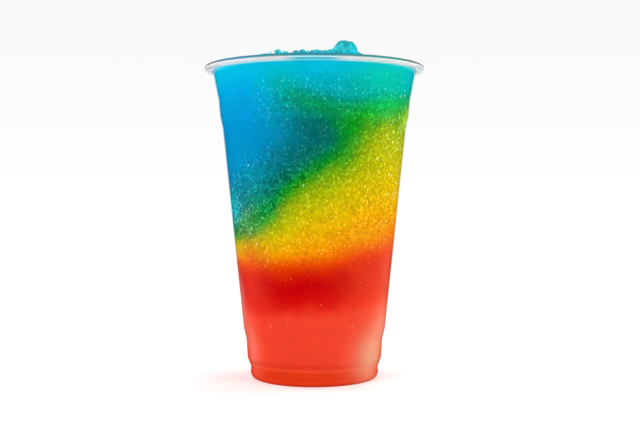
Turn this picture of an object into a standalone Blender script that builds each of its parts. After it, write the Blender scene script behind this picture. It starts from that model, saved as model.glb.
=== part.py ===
"""A frozen slush drink in its clear cup.

Four flavours lie on each other in slanting layers, red, yellow, green and blue, and the blue one is
heaped just above the cup's rolled rim. The cup stands on Z = 0 with its axis on Z, and its front faces -Y.
Lengths are in millimetres in the named values and in metres in the scene.
"""

import math
import random

import bmesh
import bpy
from mathutils import Vector, noise

MM = 0.001

# Cup
CUP_HEIGHT = 139.0
RIM_RADIUS = 49.0
LIP_RADIUS = 44.9
WALL = 0.6
CURL_HEIGHT = 3.0
CURL_START = -120.0
CURL_STEPS = 10
# Outer radius and height of the wall below the rim: a band, three small steps and the long taper.
WALL_LINE = [
    (44.9, 135.0),
    (43.3, 126.3),
    (42.8, 124.5),
    (42.1, 116.5),
    (40.9, 111.2),
    (31.8, 22.6),
    (30.6, 17.7),
    (30.1, 9.4),
    (28.5, 5.2),
]
FOOT_RADIUS = 28.65
FOOT_HEIGHT = 3.1
FOOT_RING = (26.3, 23.7)
PANEL_RADIUS = 22.0
PANEL_HEIGHT = 1.9
FOOT_STEPS = 3
STEPS = 48
SHARP_ANGLE = 35.0

# Slush
GAP = 0.3
SLUSH_EDGE = 136.9

# Heap: a mound set into the fill, with uneven relief and soft swellings.
MOUND_RADIUS = 43.6
MOUND_EDGE = 137.3
MOUND_RISE = 6.9
MOUND_FULLNESS = 0.55
MOUND_CELLS = 23
MOUND_FLOOR = 135.0
RELIEF = 1.5
RELIEF_SIZE = 10.0
# Soft swellings of the heap: across, deep, height and spread.
SWELLINGS = [
    (-6.0, -29.0, 1.3, 4.5),
    (-17.0, -27.0, 1.2, 5.0),
    (7.0, -26.0, 1.2, 5.0),
    (17.0, 12.0, 1.6, 8.0),
    (-14.0, 16.0, 1.4, 9.0),
    (24.0, -8.0, 0.9, 6.0),
]

# The lump that stands up out of the heap, built from rough ellipsoids: across, deep, up and three radii.
LUMP = [
    (12.9, -25.5, 142.2, 5.6, 4.9, 5.7),
    (6.9, -26.4, 141.3, 6.4, 4.4, 2.9),
    (10.6, -26.6, 144.4, 3.2, 3.0, 3.1),
    (15.4, -25.2, 143.6, 3.3, 3.2, 3.2),
]
LUMP_ROUGHNESS = 0.2

# Coarse chips of ice half sunk in the heap's front, across and deep, and more spread over the rest of it.
FRONT_CHIPS = [(-7.6, -30.5), (-4.4, -29.6), (-14.6, -29.0), (-19.0, -26.8), (0.8, -31.0), (3.4, -28.4)]
SPREAD_CHIPS = 10
CHIP_RADII = (0.9, 1.9)
CHIP_FLATNESS = (0.5, 0.8)
CHIP_REACH = 35.0
CHIP_ROUGHNESS = 0.5
CHIP_SEED = 11

# The layers' borders as lines across the cup: (across, height) at its front and at its back.
RED_TOP_FRONT = [(-60, 49), (-34, 51), (-6, 53.8), (7, 54.6), (17, 57.4), (34, 61.6), (60, 64)]
RED_TOP_BACK = [(-60, 56), (-34, 57), (-6, 54), (7, 52.4), (17, 52), (34, 55), (60, 57)]
YELLOW_TOP_FRONT = [
    (-60, 58), (-35, 63.6), (-22, 70.4), (-10, 83), (3, 92), (12, 99.5), (18, 111), (27, 116.6), (41, 119.2),
    (60, 122),
]
YELLOW_TOP_BACK = [
    (-60, 62), (-35, 67), (-22, 72), (-10, 78), (3, 86), (12, 93), (19, 99.5), (27, 106), (41, 114),
    (60, 120),
]
GREEN_TOP_FRONT = [
    (-60, 61), (-36, 69.5), (-16, 83.2), (-2, 95), (7.5, 102), (8.5, 109), (-1, 116), (-9.5, 122.3),
    (-7, 125.2), (4, 121.2), (18, 120.9), (30, 123.6), (43, 128.6), (60, 134),
]
GREEN_TOP_BACK = [
    (-60, 69), (-36, 75), (-16, 83), (-4, 90), (4, 96), (8, 99.5), (11, 102.5), (14, 105.5), (17, 108.5),
    (21, 112), (26, 115), (32, 118.5), (43, 124), (60, 130),
]
BORDER_DEPTH = 60.0
BORDER_BLEND = 44.0
BORDER_SLICES = 13
BORDER_DETAIL = 2
BORDER_WOBBLE = 0.9
BORDER_WOBBLE_SIZE = 11.0
BELOW_CUP = -20.0

# Colour, roughness, metallic and share of light let through, for each piece.
FINISHES = {
    "cup": ((0.93, 0.96, 0.97), 0.06, 0.0, 0.95),
    "red_slush": ((0.86, 0.03, 0.02), 0.35, 0.0, 0.0),
    "yellow_slush": ((0.95, 0.62, 0.01), 0.35, 0.0, 0.0),
    "green_slush": ((0.02, 0.45, 0.16), 0.35, 0.0, 0.0),
    "blue_slush": ((0.0, 0.43, 0.72), 0.35, 0.0, 0.0),
}


def clear_scene():
    for thing in list(bpy.data.objects):
        bpy.data.objects.remove(thing, do_unlink=True)


def new_collection(name):
    collection = bpy.data.collections.new(name)
    bpy.context.scene.collection.children.link(collection)
    return collection


def finish(piece):
    """Gives a piece the material of its own name."""
    colour, roughness, metallic, clearness = FINISHES[piece.name]
    material = bpy.data.materials.new(piece.name)
    material.use_nodes = True
    shader = material.node_tree.nodes["Principled BSDF"]
    shader.inputs["Base Color"].default_value = (*colour, 1.0)
    shader.inputs["Roughness"].default_value = roughness
    shader.inputs["Metallic"].default_value = metallic
    shader.inputs["Transmission Weight"].default_value = clearness
    piece.data.materials.clear()
    piece.data.materials.append(material)


def arc(centre, radii, start, end, steps):
    """Points of an elliptical arc in the (radius, height) plane, with its angles in degrees."""
    points = []
    for step in range(steps + 1):
        angle = math.radians(start + (end - start) * step / steps)
        points.append((centre[0] + radii[0] * math.cos(angle), centre[1] + radii[1] * math.sin(angle)))
    return points


def middle_line():
    """The middle of the cup's wall, from the tip of the rolled rim to the axis."""
    half = WALL / 2
    lip = LIP_RADIUS - half
    curl_radii = ((RIM_RADIUS - half - lip) / 2, (CURL_HEIGHT - WALL) / 2)
    curl_centre = (lip + curl_radii[0], CUP_HEIGHT - half - curl_radii[1])
    line = arc(curl_centre, curl_radii, CURL_START, 180.0, CURL_STEPS)
    line += [(radius - half, height) for radius, height in WALL_LINE]
    ring_outer, ring_inner = FOOT_RING
    roll_radii = (FOOT_RADIUS - half - ring_outer, FOOT_HEIGHT - half)
    line += arc((ring_outer, FOOT_HEIGHT), roll_radii, 0.0, -90.0, FOOT_STEPS)
    rise = PANEL_HEIGHT + half
    line += [(ring_inner, half), (PANEL_RADIUS, rise), (0.0, rise)]
    return line


def offset_line(line, distance):
    """The line moved sideways by a distance, to its left as it runs, with its corners kept sharp."""
    moved = []
    for index, point in enumerate(line):
        here = Vector(point)
        before = Vector(line[max(index - 1, 0)])
        after = Vector(line[min(index + 1, len(line) - 1)])
        arriving = (here - before).normalized() if index else (after - here).normalized()
        leaving = (after - here).normalized() if index < len(line) - 1 else arriving
        side = Vector((-arriving.y, arriving.x))
        next_side = Vector((-leaving.y, leaving.x))
        corner = (side + next_side).normalized()
        place = here + corner * (distance / corner.dot(side))
        moved.append((place.x, place.y))
    return moved


def turned_mesh(name, profile):
    """Turns a profile of (radius, height) round the axis and returns the plain mesh."""
    mesh = bpy.data.meshes.new(name + "_profile")
    points = [(radius * MM, 0.0, height * MM) for radius, height in profile]
    mesh.from_pydata(points, [(step, step + 1) for step in range(len(points) - 1)], [])
    turned = bpy.data.objects.new(name + "_turned", mesh)
    bpy.context.scene.collection.objects.link(turned)
    screw = turned.modifiers.new("turn", "SCREW")
    screw.axis = "Z"
    screw.steps = STEPS
    screw.render_steps = STEPS
    screw.use_merge_vertices = True
    screw.merge_threshold = 0.00001
    result = evaluated_mesh(turned)
    bpy.data.objects.remove(turned, do_unlink=True)
    bpy.data.meshes.remove(mesh)
    return result


def evaluated_mesh(thing):
    bpy.context.view_layer.update()
    graph = bpy.context.evaluated_depsgraph_get()
    return bpy.data.meshes.new_from_object(thing.evaluated_get(graph))


def make_cup(parts):
    middle = middle_line()
    inner = offset_line(middle, -WALL / 2)
    outer = offset_line(middle, WALL / 2)
    profile = list(reversed(inner)) + outer
    cup = bpy.data.objects.new("cup", turned_mesh("cup", profile))
    parts.objects.link(cup)
    cup.data.shade_smooth()
    cup.data.set_sharp_from_angle(angle=math.radians(SHARP_ANGLE))
    finish(cup)
    return cup


def heap_height(across, deep):
    """Height of the slush's open top at a place, in millimetres above the cup's foot."""
    reach = min(math.hypot(across, deep) / MOUND_RADIUS, 1.0)
    fade = 1.0 - reach ** 6
    place = Vector((across / RELIEF_SIZE, deep / RELIEF_SIZE, 0.7))
    height = MOUND_EDGE + MOUND_RISE * (1.0 - reach ** 2) ** MOUND_FULLNESS
    height += fade * RELIEF * noise.fractal(place, 0.7, 2.1, 3)
    for middle_across, middle_deep, rise, spread in SWELLINGS:
        away = math.hypot(across - middle_across, deep - middle_deep) / spread
        height += fade * rise * math.exp(-away * away)
    return height


def mound():
    """The heap as an even grid drawn out to a round, lifted to its heights and closed below."""
    mesh = bpy.data.meshes.new("mound")
    shape = bmesh.new()
    bmesh.ops.create_grid(shape, x_segments=MOUND_CELLS, y_segments=MOUND_CELLS, size=1.0)
    for vertex in shape.verts:
        side, depth = vertex.co.x, vertex.co.y
        across = MOUND_RADIUS * side * math.sqrt(1.0 - depth * depth / 2)
        deep = MOUND_RADIUS * depth * math.sqrt(1.0 - side * side / 2)
        vertex.co = Vector((across, deep, heap_height(across, deep))) * MM
    closed = bmesh.ops.extrude_face_region(shape, geom=shape.faces[:])
    for vertex in closed["geom"]:
        if isinstance(vertex, bmesh.types.BMVert):
            vertex.co.z = MOUND_FLOOR * MM
    bmesh.ops.recalc_face_normals(shape, faces=shape.faces[:])
    shape.to_mesh(mesh)
    shape.free()
    return bpy.data.objects.new("mound", mesh)


def fill_mesh():
    """The slush inside the cup, level with SLUSH_EDGE at its top."""
    inside = offset_line(middle_line(), -WALL / 2 - GAP)
    wall = [point for point in inside[CURL_STEPS + 1:] if point[1] < SLUSH_EDGE]
    edge = LIP_RADIUS - WALL - GAP
    return turned_mesh("fill", [(0.0, SLUSH_EDGE), (edge, SLUSH_EDGE)] + wall)


def rough_ball(name, place, radii, detail, roughness, seed):
    """A rounded piece of ice with an uneven skin, placed in millimetres."""
    mesh = bpy.data.meshes.new(name)
    shape = bmesh.new()
    bmesh.ops.create_icosphere(shape, subdivisions=detail, radius=1.0)
    for vertex in shape.verts:
        swell = 1.0 + roughness * noise.noise(vertex.co * 1.6 + Vector((seed, 0.0, 0.0)))
        spot = [middle + radius * swell * part for middle, radius, part in zip(place, radii, vertex.co)]
        vertex.co = Vector(spot) * MM
    shape.to_mesh(mesh)
    shape.free()
    return bpy.data.objects.new(name, mesh)


def lump_pieces():
    pieces = []
    for number, (across, deep, up, *radii) in enumerate(LUMP):
        place = (across, deep, up)
        pieces.append(rough_ball(f"lump_{number}", place, radii, 2, LUMP_ROUGHNESS, 7.0 * number))
    return pieces


def chip_places(draw):
    """Where the chips lie: the front ones by hand, the rest drawn clear of the lump and of the front."""
    places = list(FRONT_CHIPS)
    while len(places) < len(FRONT_CHIPS) + SPREAD_CHIPS:
        turn = draw.uniform(0.0, 2 * math.pi)
        reach = CHIP_REACH * math.sqrt(draw.random())
        across, deep = reach * math.cos(turn), reach * math.sin(turn)
        clear = min(math.hypot(across - x, deep - y) for x, y in places + [LUMP[0][:2], LUMP[1][:2]])
        if clear > 8.0 and deep > -22.0:
            places.append((across, deep))
    return places


def chips():
    draw = random.Random(CHIP_SEED)
    pieces = []
    for number, (across, deep) in enumerate(chip_places(draw)):
        radius = draw.uniform(*CHIP_RADII)
        place = (across, deep, heap_height(across, deep) + 0.1 * radius)
        radii = (radius, radius * draw.uniform(*CHIP_FLATNESS), radius * draw.uniform(*CHIP_FLATNESS))
        pieces.append(rough_ball(f"chip_{number}", place, radii, 1, CHIP_ROUGHNESS, 3.0 * number))
    return pieces


def join_solids(body, pieces):
    """Fuses the pieces to the body's mesh with one union, and removes them."""
    helpers = new_collection("helpers")
    for piece in pieces:
        helpers.objects.link(piece)
    bpy.context.scene.collection.objects.link(body)
    union = body.modifiers.new("union", "BOOLEAN")
    union.operation = "UNION"
    union.operand_type = "COLLECTION"
    union.collection = helpers
    union.solver = "EXACT"
    union.use_self = True
    mesh = evaluated_mesh(body)
    for piece in list(helpers.objects):
        bpy.data.objects.remove(piece, do_unlink=True)
    bpy.data.collections.remove(helpers)
    bpy.data.objects.remove(body, do_unlink=True)
    return mesh


def smooth_line(knots):
    """A curve through the knots, with BORDER_DETAIL stretches between each pair."""
    points = []
    for index in range(len(knots) - 1):
        first = Vector(knots[max(index - 1, 0)])
        second = Vector(knots[index])
        third = Vector(knots[index + 1])
        fourth = Vector(knots[min(index + 2, len(knots) - 1)])
        for step in range(BORDER_DETAIL):
            t = step / BORDER_DETAIL
            pull = (third - first) * t
            pull += (2 * first - 5 * second + 4 * third - fourth) * t ** 2
            pull += (3 * second - first - 3 * third + fourth) * t ** 3
            points.append(second + pull / 2)
    points.append(Vector(knots[-1]))
    return [(point.x, point.y) for point in points]


def border_slice(front, back, deep, lift):
    """One line of a border at a depth, moved sideways by lift, with the block's two lower corners."""
    blend = min(max((deep + BORDER_BLEND) / (2 * BORDER_BLEND), 0.0), 1.0)
    blend = blend * blend * (3 - 2 * blend)
    knots = [tuple(a + (b - a) * blend for a, b in zip(near, far)) for near, far in zip(front, back)]
    line = []
    for across, height in smooth_line(knots):
        place = Vector((across / BORDER_WOBBLE_SIZE, deep / BORDER_WOBBLE_SIZE, height / 20.0))
        line.append((across, height + BORDER_WOBBLE * noise.noise(place)))
    line = offset_line(line, lift)
    line += [(line[-1][0], BELOW_CUP), (line[0][0], BELOW_CUP)]
    return [Vector((across * MM, deep * MM, height * MM)) for across, height in line]


def block_below(name, cutters, front, back, lift):
    """A solid block that holds all that lies under a border, as a loft through slices from front to back."""
    shape = bmesh.new()
    loops = []
    for number in range(BORDER_SLICES):
        deep = BORDER_DEPTH * (2 * number / (BORDER_SLICES - 1) - 1)
        loops.append([shape.verts.new(spot) for spot in border_slice(front, back, deep, lift)])
    for near, far in zip(loops, loops[1:]):
        for index in range(len(near)):
            after = (index + 1) % len(near)
            shape.faces.new((near[index], near[after], far[after], far[index]))
    shape.faces.new(reversed(loops[0]))
    shape.faces.new(loops[-1])
    bmesh.ops.triangulate(shape, faces=shape.faces[:])
    bmesh.ops.recalc_face_normals(shape, faces=shape.faces[:])
    mesh = bpy.data.meshes.new(name)
    shape.to_mesh(mesh)
    shape.free()
    block = bpy.data.objects.new(name, mesh)
    block.hide_render = True
    block.display_type = "WIRE"
    cutters.objects.link(block)
    return block


def trim(piece, block, operation):
    cut = piece.modifiers.new(operation.lower(), "BOOLEAN")
    cut.operation = operation
    cut.object = block
    cut.solver = "EXACT"


def make_slush(parts, cutters):
    """The four layers, each cut from the same fill along the borders that it shares."""
    borders = {
        "red": (RED_TOP_FRONT, RED_TOP_BACK),
        "yellow": (YELLOW_TOP_FRONT, YELLOW_TOP_BACK),
        "green": (GREEN_TOP_FRONT, GREEN_TOP_BACK),
    }
    under = {}
    over = {}
    for name, (front, back) in borders.items():
        under[name] = block_below(f"under_{name}_top", cutters, front, back, -GAP / 2)
        over[name] = block_below(f"over_{name}_top", cutters, front, back, GAP / 2)
    plain = fill_mesh()
    crown = join_solids(bpy.data.objects.new("fill", plain.copy()), [mound()] + lump_pieces() + chips())
    layers = [
        ("red_slush", plain, None, under["red"]),
        ("yellow_slush", plain, over["red"], under["yellow"]),
        ("green_slush", plain, over["yellow"], under["green"]),
        ("blue_slush", crown, over["green"], None),
    ]
    for name, fill, floor, ceiling in layers:
        layer = bpy.data.objects.new(name, fill.copy())
        parts.objects.link(layer)
        if ceiling:
            trim(layer, ceiling, "INTERSECT")
        if floor:
            trim(layer, floor, "DIFFERENCE")
        finish(layer)


def main():
    clear_scene()
    parts = new_collection("frozen_slush_drink")
    cutters = new_collection("cutters")
    make_cup(parts)
    make_slush(parts, cutters)


main()
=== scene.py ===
"""The frozen slush drink as it looks.

A clear cup with a rolled rim holds four flavours of slush that melt into each other, red, orange to yellow,
green and blue. Fine ice shows against the wall as pale grains, and the blue slush is heaped above the rim.
Lengths are in millimetres in the named values and in metres in the scene.
"""

import math
import random

import bmesh
import bpy
import numpy as np
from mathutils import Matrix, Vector, noise


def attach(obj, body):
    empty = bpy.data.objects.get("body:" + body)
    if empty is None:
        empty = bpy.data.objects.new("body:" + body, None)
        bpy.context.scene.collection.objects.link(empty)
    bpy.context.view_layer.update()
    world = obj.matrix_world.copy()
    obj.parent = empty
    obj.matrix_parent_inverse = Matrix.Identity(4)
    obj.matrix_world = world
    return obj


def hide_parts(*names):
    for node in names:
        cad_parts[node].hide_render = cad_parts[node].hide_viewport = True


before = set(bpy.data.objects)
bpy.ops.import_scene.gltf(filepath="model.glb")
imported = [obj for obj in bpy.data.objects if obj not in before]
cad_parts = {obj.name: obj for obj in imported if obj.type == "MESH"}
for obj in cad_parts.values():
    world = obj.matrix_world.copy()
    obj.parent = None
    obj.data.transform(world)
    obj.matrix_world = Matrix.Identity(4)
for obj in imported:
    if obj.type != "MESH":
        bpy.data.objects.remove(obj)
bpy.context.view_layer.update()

MM = 0.001

# Cup: sizes of the wall, the rolled rim and the foot.
CUP_HEIGHT = 139.0
RIM_RADIUS = 49.0
LIP_RADIUS = 44.9
WALL = 0.6
CURL_HEIGHT = 3.0
CURL_OUTSIDE = 0.93
CURL_START = -120.0
CURL_STEPS = 30
WALL_LINE = [
    (44.9, 135.0), (43.3, 126.3), (42.8, 124.5), (42.1, 116.5), (40.9, 111.2),
    (31.8, 22.6), (30.6, 17.7), (30.1, 9.4), (28.5, 5.2),
]
CORNER_REACH = 0.6
CORNER_STEPS = 4
FOOT_RADIUS = 28.65
FOOT_HEIGHT = 3.1
FOOT_RING = (26.3, 23.7)
PANEL_RADIUS = 22.0
PANEL_HEIGHT = 1.9
FOOT_STEPS = 10
CUP_COLUMNS = 192

# Light on the rolled rim, in degrees up the roll from its outer side and round the cup from its front.
# A band of painted light runs all round, but for a gap in front where the rim shows the slush's colour with
# painted pale streaks.
LIGHT_BAND_ROLL = (-92.0, -72.0)
LIGHT_BAND_SHARE = 0.7
LIGHT_BAND_COLOUR = (0.76, 0.74, 0.75)
LIGHT_BAND_WAVER = 0.14
LIGHT_BAND_GAP = (7.0, 17.0)
FRONT_LIGHT_SHARE = 0.8
STREAK_COLOUR = (0.56, 0.90, 0.96)
STREAKS = [(-80, 0.1), (-66, 0.55), (-52, 0.5), (-42, 0.0), (-20, 0.0), (-12, 0.8), (0, 0.8), (8, 0.1)]
STREAK_WAVER = 0.3
RIM_CLOUDS = (5.0, 2.0)
LOW_STREAK = (-50.0, -66.0)
LOW_STREAK_SHARE = 0.7
# On top of the roll a painted reflection of the slush has the slush's colour at a height, deepened, and turns
# grey at both sides.
REFLECTION_ROLL = (0.0, 15.0)
REFLECTION_END = (72.0, 100.0)
REFLECTION_SHARE = 0.96
REFLECTION_LOOK = 130.0
REFLECTION_DEPTH = 0.52
REFLECTION_FADE = (46.0, 66.0)
REFLECTION_RETURN = (112.0, 136.0)
REFLECTION_GREY = 0.15

# Bubbles in the red slush at the wall: degrees round the cup, height and radius. All are flat and lie just
# inside the slush.
BUBBLE_DEPTH = 0.2
BUBBLE_INSET = 0.05
BUBBLES = [
    (-35.0, 25.8, 0.75), (30.5, 26.2, 0.5), (-20.0, 26.0, 0.4), (5.0, 35.8, 0.45),
    (-33.5, 45.6, 0.3), (-16.5, 46.5, 0.4), (39.0, 46.0, 0.35), (24.0, 9.5, 0.35),
]

# Slush: how far it reaches into the wall, and the size of its mesh.
BITE = 0.15
SLUSH_EDGE = 136.9
SLUSH_COLUMNS = 400
SLUSH_ROW = 0.65
CREASE_ANGLE = 50.0

# Heap above the brim.
MOUND_RADIUS = 43.6
MOUND_EDGE = 137.3
MOUND_RISE = 6.3
MOUND_FULLNESS = 0.55
MOUND_CELLS = 170
MOUND_FLOOR = 135.0
RELIEF = 1.5
RELIEF_SIZE = 10.0
SWELLINGS = [
    (-6.0, -29.0, 0.7, 4.0),
    (7.0, -26.0, 0.4, 5.0),
    (17.0, 12.0, 1.6, 8.0),
    (-14.0, 16.0, 1.4, 9.0),
    (24.0, -8.0, 0.9, 6.0),
]
CRUMB_RELIEF = 0.55
CRUMB_SIZE = 2.1
CRUMB_FULLNESS = 1.6
CRUMB_CLOUDS = 7.0
CRUMB_SINK = 1.3
FINE_CRUMBS = 0.35
FINE_SIZE = 0.45

# The lump that stands out of the heap, and the coarse chips: across, deep, up and radii.
LUMP = [
    (13.3, -25.5, 141.6, 5.3, 4.8, 5.3),
    (7.6, -26.4, 140.4, 5.6, 4.2, 2.7),
    (11.9, -26.4, 144.1, 2.7, 2.6, 3.0),
    (15.4, -25.2, 142.8, 3.1, 3.1, 3.3),
    (14.8, -25.6, 140.2, 5.2, 4.2, 2.6),
]
LUMP_ROUGHNESS = 0.2
LUMP_GRAIN = 0.18
LUMP_GRAIN_SIZE = 2.0
LUMP_VOXEL = 0.28
FRONT_CHIPS = [
    (-7.4, -30.0, 1.4), (-4.9, -29.4, 1.6), (-2.6, -29.6, 1.1), (-13.6, -29.6, 0.7),
    (-18.4, -28.6, 0.6), (0.6, -29.6, 0.9), (3.0, -28.4, 0.8),
]
SPREAD_CHIPS = 10
CHIP_RADII = (0.9, 1.9)
CHIP_FLATNESS = (0.5, 0.8)
CHIP_REACH = 35.0
CHIP_ROUGHNESS = 0.5
CHIP_SINK = 0.15
CHIP_GAP = 8.0
CHIP_FRONT = -22.0
CHIP_SEED = 11

# The layers' borders as lines across the cup, (across, height), at its front and at its back.
RED_TOP = (
    [(-60, 49), (-34, 51), (-6, 53.8), (7, 54.6), (17, 57.4), (34, 61.6), (60, 64)],
    [(-60, 56), (-34, 57), (-6, 54), (7, 52.4), (17, 52), (34, 55), (60, 57)],
)
YELLOW_TOP = (
    [(-60, 58), (-35, 63.6), (-22, 70.4), (-10, 83), (3, 92), (12, 99.5), (18, 111), (27, 116.6),
     (41, 119.2), (60, 122)],
    [(-60, 62), (-35, 67), (-22, 72), (-10, 78), (3, 86), (12, 93), (19, 99.5), (27, 106), (41, 114),
     (60, 120)],
)
GREEN_TOP = (
    [(-60, 61), (-36, 69.5), (-16, 83.2), (-2, 95), (7.5, 102), (8.5, 109), (-1, 116), (-9.5, 122.3),
     (-7, 125.2), (4, 121.2), (18, 120.9), (30, 123.6), (43, 128.6), (60, 134)],
    [(-60, 69), (-36, 75), (-16, 83), (-4, 90), (4, 96), (8, 99.5), (11, 102.5), (14, 105.5), (17, 108.5),
     (21, 112), (26, 115), (32, 118.5), (43, 124), (60, 130)],
)
BORDER_DEPTH = 60.0
BORDER_BLEND = 44.0
BORDER_SLICES = 41
BORDER_DETAIL = 5
BORDER_WOBBLE = 0.9
BORDER_WOBBLE_SIZE = 11.0
BELOW_CUP = -20.0
# Depth over which a flavour changes below the red top and above the green top.
MELT_DEPTH = 25.0

# Colours along the drink as screen values: 0 to 1 below the red top, then up through the yellow
# layer to 2 and the green one to 3, and the blue one beyond.
FLAVOURS = [
    (0.00, (240, 68, 44)), (0.08, (237, 60, 38)), (0.16, (230, 45, 28)),
    (0.26, (220, 29, 19)), (0.38, (209, 14, 12)), (0.60, (196, 2, 9)),
    (0.75, (204, 22, 6)), (0.85, (216, 46, 4)), (0.95, (227, 72, 3)),
    (1.06, (236, 112, 4)), (1.20, (238, 155, 4)), (1.40, (228, 178, 5)),
    (1.60, (205, 185, 5)), (1.75, (178, 182, 6)), (1.86, (140, 174, 8)),
    (1.96, (72, 158, 12)), (2.06, (28, 147, 16)), (2.40, (10, 140, 25)),
    (2.70, (6, 138, 38)), (2.95, (6, 132, 60)), (3.08, (5, 120, 88)),
    (3.20, (5, 118, 108)), (3.32, (5, 122, 130)), (3.45, (5, 128, 150)),
    (3.60, (5, 136, 172)), (3.80, (4, 142, 190)), (4.00, (4, 145, 197)),
]
# How far soft clouds shift the scale.
CLOUDING = [(0.0, 0.02), (0.2, 0.09), (0.6, 0.09), (0.9, 0.02), (1.2, 0.03), (1.6, 0.05)]
# Blue slush, by height, and where on the scale it starts.
BLUE_START = (3.45, 3.85)
BLUES = [
    (70.0, (6, 142, 180)), (92.0, (4, 139, 186)), (103.0, (3, 139, 191)),
    (112.0, (3, 142, 200)), (120.0, (3, 152, 209)), (127.0, (2, 165, 216)),
    # the stop at 143 brightens the lump above the heap: painted glow, as if light shone through its ice
    (134.0, (2, 181, 217)), (141.0, (2, 190, 218)), (143.0, (14, 240, 252)),
]
# Painted shade and light: the bends of the cup's wall show as faint darker and lighter rings painted into the
# slush, by height, weaker at the left.
RINGS = [
    (110.6, 0.0), (112.2, -0.09), (113.2, 0.0), (114.6, 0.1), (115.6, 0.03), (116.8, -0.09), (117.8, 0.0),
    (118.8, 0.05), (120.2, -0.06), (121.5, 0.0), (123.4, 0.0), (124.6, -0.04), (126.2, 0.05), (128.2, -0.04),
    (129.5, 0.0),
]
RING_FADE = (-25.0, -5.0)
RING_LEAST = 0.35
RING_WAVER = 0.4
# Near the brim the same scale has brighter colours.
UPPER_FLAVOURS = [
    (2.00, (30, 170, 60)), (2.50, (20, 176, 98)), (2.80, (6, 164, 110)),
    (2.95, (4, 163, 135)), (3.05, (5, 168, 160)), (3.15, (3, 175, 180)),
    (3.30, (3, 178, 192)), (3.45, (3, 184, 208)), (4.00, (2, 185, 220)),
]
UPPER_START = (106.0, 127.0)
UPPER_GREEN = (2.0, 2.3)
# Soft pockets of another colour, those at the sides of the red slush partly painted light: across, deep,
# height, their spread sideways and upwards, colour, share.
POCKETS = [
    (0, -40, 109, 12, 9, (2, 93, 94), 0.65),
    (-11, -38, 99, 10, 7, (3, 110, 124), 0.4),
    (-21, -34, 121, 8, 8, (3, 148, 214), 0.5),
    (-15, -37, 114, 7, 7, (4, 140, 172), 0.5),
    (1, -40, 119.5, 9, 4, (5, 148, 84), 0.7),
    (-8, -39, 122, 6, 4, (5, 152, 108), 0.4),
    (-13, -38, 127, 6, 4, (4, 164, 142), 0.65),
    (-2, -40, 133, 9, 5, (2, 180, 222), 0.6),
    (6, -40, 127, 10, 4.5, (2, 160, 184), 0.65),
    (18, -36, 126, 8, 5.5, (3, 158, 146), 0.65),
    (23, -34, 115, 5, 4, (24, 190, 18), 0.5),
    (17, -36, 110, 6, 6, (6, 150, 24), 0.9),
    (31, -28, 119, 10, 6, (14, 196, 86), 0.7),
    (28, -29, 131, 16, 7, (9, 196, 162), 0.8),
    (41, -10, 114, 6, 5, (190, 232, 70), 0.9),
    (32, -24, 103, 6, 9, (200, 204, 28), 0.4),
    (-26, -29, 86, 8, 7, (7, 154, 178), 0.6),
    (-22, -29, 78, 7, 6, (12, 156, 100), 0.5),
    (-35, -12, 76, 8, 7, (14, 190, 208), 0.85),
    (-28, -22, 68.5, 7, 4.5, (14, 160, 88), 0.8),
    (-26, -23, 56, 10, 5, (208, 126, 4), 0.5),
    (24, -28, 64, 12, 5, (226, 178, 14), 0.4),
    # the pale coral pockets at both sides of the red slush are partly painted light, standing in for light
    # through its thin edges
    (39, -6, 48, 6, 14, (246, 128, 96), 0.6),
    (24, -26, 45, 12, 16, (240, 78, 46), 0.5),
    (33, -14, 48, 8, 14, (240, 98, 70), 0.65),
    (31, -12, 24, 8, 11, (240, 146, 116), 0.75),
    (-28, -22, 42, 9, 18, (226, 54, 40), 0.75),
    (-27, -14, 16, 6, 12, (244, 134, 112), 0.6),
    (-31, -7, 34, 5, 16, (244, 150, 134), 0.7),
    (25, -17, 12, 10, 12, (230, 168, 134), 0.85),
    (10, 38, 92, 14, 8, (2, 98, 92), 0.7),
    (-30, 18, 44, 12, 16, (238, 84, 56), 0.6),
    (14, 33, 40, 12, 9, (190, 2, 8), 0.6),
]
# Foot of the drink, by height: deeper and more orange round the base, with a pale line of painted light above
# it along the inner edge of the base.
FOOT = [
    (0.0, (220, 64, 28)), (2.3, (232, 64, 30)), (3.3, (225, 56, 21)),
    (5.8, (229, 63, 27)), (6.6, (238, 75, 39)), (7.2, (242, 82, 48)),
    (7.9, (231, 61, 37)), (9.3, (231, 61, 37)), (10.4, (239, 68, 46)),
]
FOOT_FADE = (9.5, 11.5)
# Where the layers sag at the left: degrees round the cup and height, each with its spread, and the shift.
SAG_TURN = (-56.0, 24.0)
SAG_HEIGHT = (65.0, 12.0)
SAG_SHIFT = 0.15
# Soft clouds of lighter and darker slush, a finer mottle, and clouds of ice: size and seed of each.
CLOUDS = (9.0, 5.0)
MOTTLE = (2.5, 17.0)
ICE_CLOUDS = (6.0, 31.0)
CLOUD_SHADE = 0.03
MOTTLE_SHADE = 0.025
ICE_UNEVEN = 0.3
# Share of ice that shows, along the same scale as the flavours, and how it fades towards the brim.
ICE = [
    (0.0, 0.1), (0.75, 0.1), (0.95, 0.22), (1.2, 0.4), (1.6, 0.45), (1.95, 1.0), (2.2, 1.2), (3.15, 1.2),
    (3.35, 0.9), (3.6, 0.65), (3.8, 0.3), (4.0, 0.08),
]
ICE_BY_HEIGHT = [
    (76.0, 1.9), (84.0, 1.6), (94.0, 1.0), (104.0, 0.45), (116.0, 0.45), (123.0, 0.42), (128.0, 0.25),
    (134.0, 0.15),
]
# The yellow slush shows this much more ice at its right edge, along the scale.
RIGHT_EDGE = 40.0
RIGHT_ICE = [(1.0, 0.0), (1.2, 1.1), (2.2, 0.0)]

# Ice grains: how many a square metre holds at most, and their smallest and largest radii.
GRAIN_HEIGHTS = (40.0, 134.0)
GRAIN_SKIN_ROW = 2.0
GRAIN_SKIN_COLUMNS = 160
WALL_GRAINS = (760000.0, (0.3, 0.36, 0.08), (0.62, 0.84, 0.17))
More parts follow.
